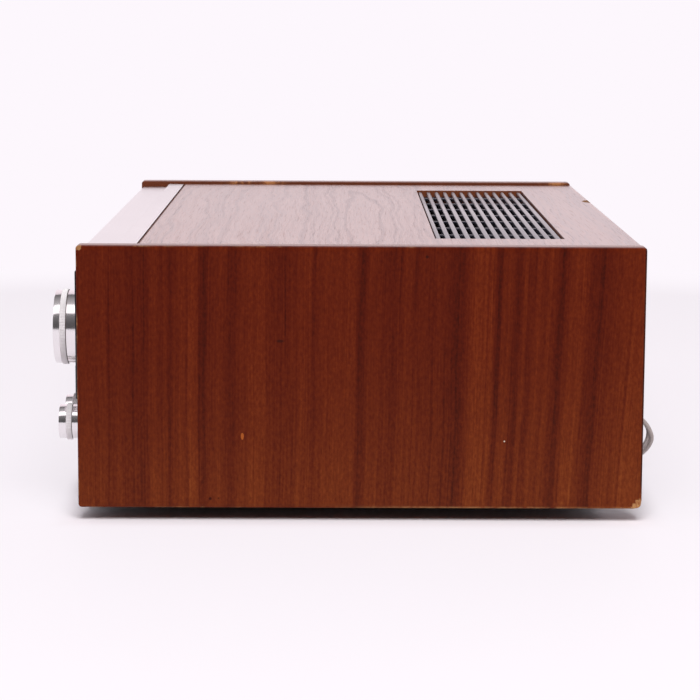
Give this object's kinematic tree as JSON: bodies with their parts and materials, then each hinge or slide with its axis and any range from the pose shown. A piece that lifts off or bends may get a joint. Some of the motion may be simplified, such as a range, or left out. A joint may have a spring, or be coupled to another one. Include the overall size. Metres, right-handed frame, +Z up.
{
  "type": "stereo receiver",
  "caption": "Stereo receiver in a wooden cabinet with a vented top, a wide dial behind glass, turned metal knobs, push buttons, rear terminals and a mains cord.",
  "frame": {"origin": "on the surface that the feet stand on, at the middle of the width and of the depth from the tuning knob's face to the cabinet's rear edge", "axes": "+X to the right side as seen from the front, +Y to the rear, +Z up; the dial faces -Y"},
  "size_m": [0.586, 0.375, 0.162],
  "materials": {
    "walnut": "satin lacquered reddish walnut veneer with upright grain on the sides",
    "aluminium": "fine brushed and clear anodised",
    "turned_aluminium": "turned and polished",
    "black_satin": "satin black",
    "dial_black": "semi-gloss blue-black",
    "smoked_glass": "clear, slightly smoked",
    "scale_paint": "dark plate with pale printed scales",
    "white_plastic": "moulded white",
    "needle_red": "painted red",
    "steel": "zinc plated sheet",
    "black_steel": "textured black paint",
    "rubber": "matt black moulding",
    "brown_board": "brown paper-phenolic circuit board",
    "green_board": "green circuit board",
    "copper_winding": "varnished windings on a laminated core",
    "blue_sleeve": "shrunk plastic sleeve",
    "black_anodised": "black anodised extrusion",
    "brown_plastic": "brown phenolic moulding",
    "ferrite": "dark grey rod in a sleeve",
    "cord_brown": "grey-brown two-core flex"
  },
  "bodies": {
    "receiver": {"side_panel_right": "walnut", "side_panel_left": "walnut", "top_panel": "walnut", "top_trim": "aluminium", "vent_grille": "black_satin", "bottom_cover": "black_steel", "foot_front_left": "rubber", "foot_front_right": "rubber", "foot_rear_left": "rubber", "foot_rear_right": "rubber", "front_panel": "aluminium", "dial_escutcheon": "dial_black", "dial_glass": "smoked_glass", "dial_scale": "scale_paint", "dial_light_box": "white_plastic", "signal_meter": "white_plastic", "tuning_meter": "white_plastic", "speaker_switch": "steel", "volume_control": "steel", "selector_switch": "steel", "tone_board": "brown_board", "switch_bank": "white_plastic", "power_switch": "black_satin", "headphone_jack": "steel", "chassis": "steel", "rear_panel": "black_steel", "tuning_capacitor": "steel", "power_transformer": "copper_winding", "filter_capacitor_1": "blue_sleeve", "filter_capacitor_2": "blue_sleeve", "heat_sink": "black_anodised", "amplifier_board": "brown_board", "tuner_board": "green_board", "speaker_terminals": "black_satin", "antenna_terminals": "brown_plastic", "input_jacks": "black_satin", "cord_strain_relief": "rubber", "power_cord": "cord_brown", "cord_coil": "cord_brown", "cord_tie": "rubber", "power_plug": "rubber"},
    "tuning": {"tuning_knob": "turned_aluminium", "tuning_flywheel": "steel"},
    "pointer": {"dial_pointer": "needle_red"},
    "drum": {"dial_drum": "white_plastic"},
    "rotor": {"capacitor_rotor": "turned_aluminium"},
    "signal_hand": {"signal_needle": "needle_red"},
    "tuning_hand": {"tuning_needle": "needle_red"},
    "speaker": {"speaker_knob": "turned_aluminium"},
    "bass": {"bass_knob": "turned_aluminium"},
    "treble": {"treble_knob": "turned_aluminium"},
    "balance": {"balance_knob": "turned_aluminium"},
    "volume": {"volume_knob": "turned_aluminium"},
    "selector": {"selector_knob": "turned_aluminium"},
    "power": {"power_button": "aluminium"},
    "loudness": {"loudness_button": "aluminium"},
    "filter": {"filter_button": "aluminium"},
    "tape": {"tape_button": "aluminium"},
    "mono": {"mono_button": "aluminium"},
    "antenna": {"ferrite_antenna": "ferrite"}
  },
  "joints": [
    {"name": "tuning_turn", "type": "hinge", "parent": "receiver", "child": "tuning", "pos_m": [0.187, -0.1595, 0.1068], "axis": [0, 1, 0], "range_deg": [-792, 1188]},
    {"name": "pointer_slide", "type": "slide", "parent": "receiver", "child": "pointer", "axis": [1, 0, 0], "range_m": [-0.0921, 0.1381]},
    {"name": "drum_turn", "type": "hinge", "parent": "receiver", "child": "drum", "pos_m": [0.13, -0.122, 0.1068], "axis": [0, 1, 0], "range_deg": [-216.1, 324.1]},
    {"name": "rotor_turn", "type": "hinge", "parent": "receiver", "child": "rotor", "pos_m": [0.13, -0.1, 0.1068], "axis": [0, 1, 0], "range_deg": [-72.1, 108.1]},
    {"name": "signal_needle_swing", "type": "hinge", "parent": "receiver", "child": "signal_hand", "pos_m": [-0.19, -0.1442, 0.0943], "axis": [0, 1, 0], "range_deg": [0, 45], "stiffness_Nm_per_rad": 0.0001},
    {"name": "tuning_needle_swing", "type": "hinge", "parent": "receiver", "child": "tuning_hand", "pos_m": [-0.145, -0.1442, 0.0943], "axis": [0, 1, 0], "range_deg": [-22.5, 22.5], "stiffness_Nm_per_rad": 0.0001},
    {"name": "speaker_turn", "type": "hinge", "parent": "receiver", "child": "speaker", "pos_m": [-0.135, -0.1547, 0.0488], "axis": [0, 1, 0], "range_deg": [-30, 60]},
    {"name": "bass_turn", "type": "hinge", "parent": "receiver", "child": "bass", "pos_m": [-0.0975, -0.1547, 0.0488], "axis": [0, 1, 0], "range_deg": [-140, 140]},
    {"name": "treble_turn", "type": "hinge", "parent": "receiver", "child": "treble", "pos_m": [-0.06, -0.1547, 0.0488], "axis": [0, 1, 0], "range_deg": [-140, 140]},
    {"name": "balance_turn", "type": "hinge", "parent": "receiver", "child": "balance", "pos_m": [-0.0225, -0.1547, 0.0488], "axis": [0, 1, 0], "range_deg": [-140, 140]},
    {"name": "volume_turn", "type": "hinge", "parent": "receiver", "child": "volume", "pos_m": [0.151, -0.1547, 0.0488], "axis": [0, 1, 0], "range_deg": [-100, 200]},
    {"name": "selector_turn", "type": "hinge", "parent": "receiver", "child": "selector", "pos_m": [0.187, -0.1547, 0.0488], "axis": [0, 1, 0], "range_deg": [-60, 60]},
    {"name": "power_press", "type": "slide", "parent": "receiver", "child": "power", "axis": [0, 1, 0], "range_m": [0, 0.003], "stiffness_N_per_m": 300},
    {"name": "loudness_press", "type": "slide", "parent": "receiver", "child": "loudness", "axis": [0, 1, 0], "range_m": [0, 0.003], "stiffness_N_per_m": 300},
    {"name": "filter_press", "type": "slide", "parent": "receiver", "child": "filter", "axis": [0, 1, 0], "range_m": [0, 0.003], "stiffness_N_per_m": 300},
    {"name": "tape_press", "type": "slide", "parent": "receiver", "child": "tape", "axis": [0, 1, 0], "range_m": [0, 0.003], "stiffness_N_per_m": 300},
    {"name": "mono_press", "type": "slide", "parent": "receiver", "child": "mono", "axis": [0, 1, 0], "range_m": [0, 0.003], "stiffness_N_per_m": 300},
    {"name": "antenna_swing", "type": "hinge", "parent": "receiver", "child": "antenna", "pos_m": [0.1, 0.1645, 0.129], "axis": [0, 0, -1], "range_deg": [0, 140]}
  ],
  "couplings": [
    {"joint": "pointer_slide", "follows": "tuning_turn", "m_per_rad": 0.0066556},
    {"joint": "drum_turn", "follows": "tuning_turn", "ratio": 0.27273},
    {"joint": "rotor_turn", "follows": "tuning_turn", "ratio": 0.090909}
  ]
}
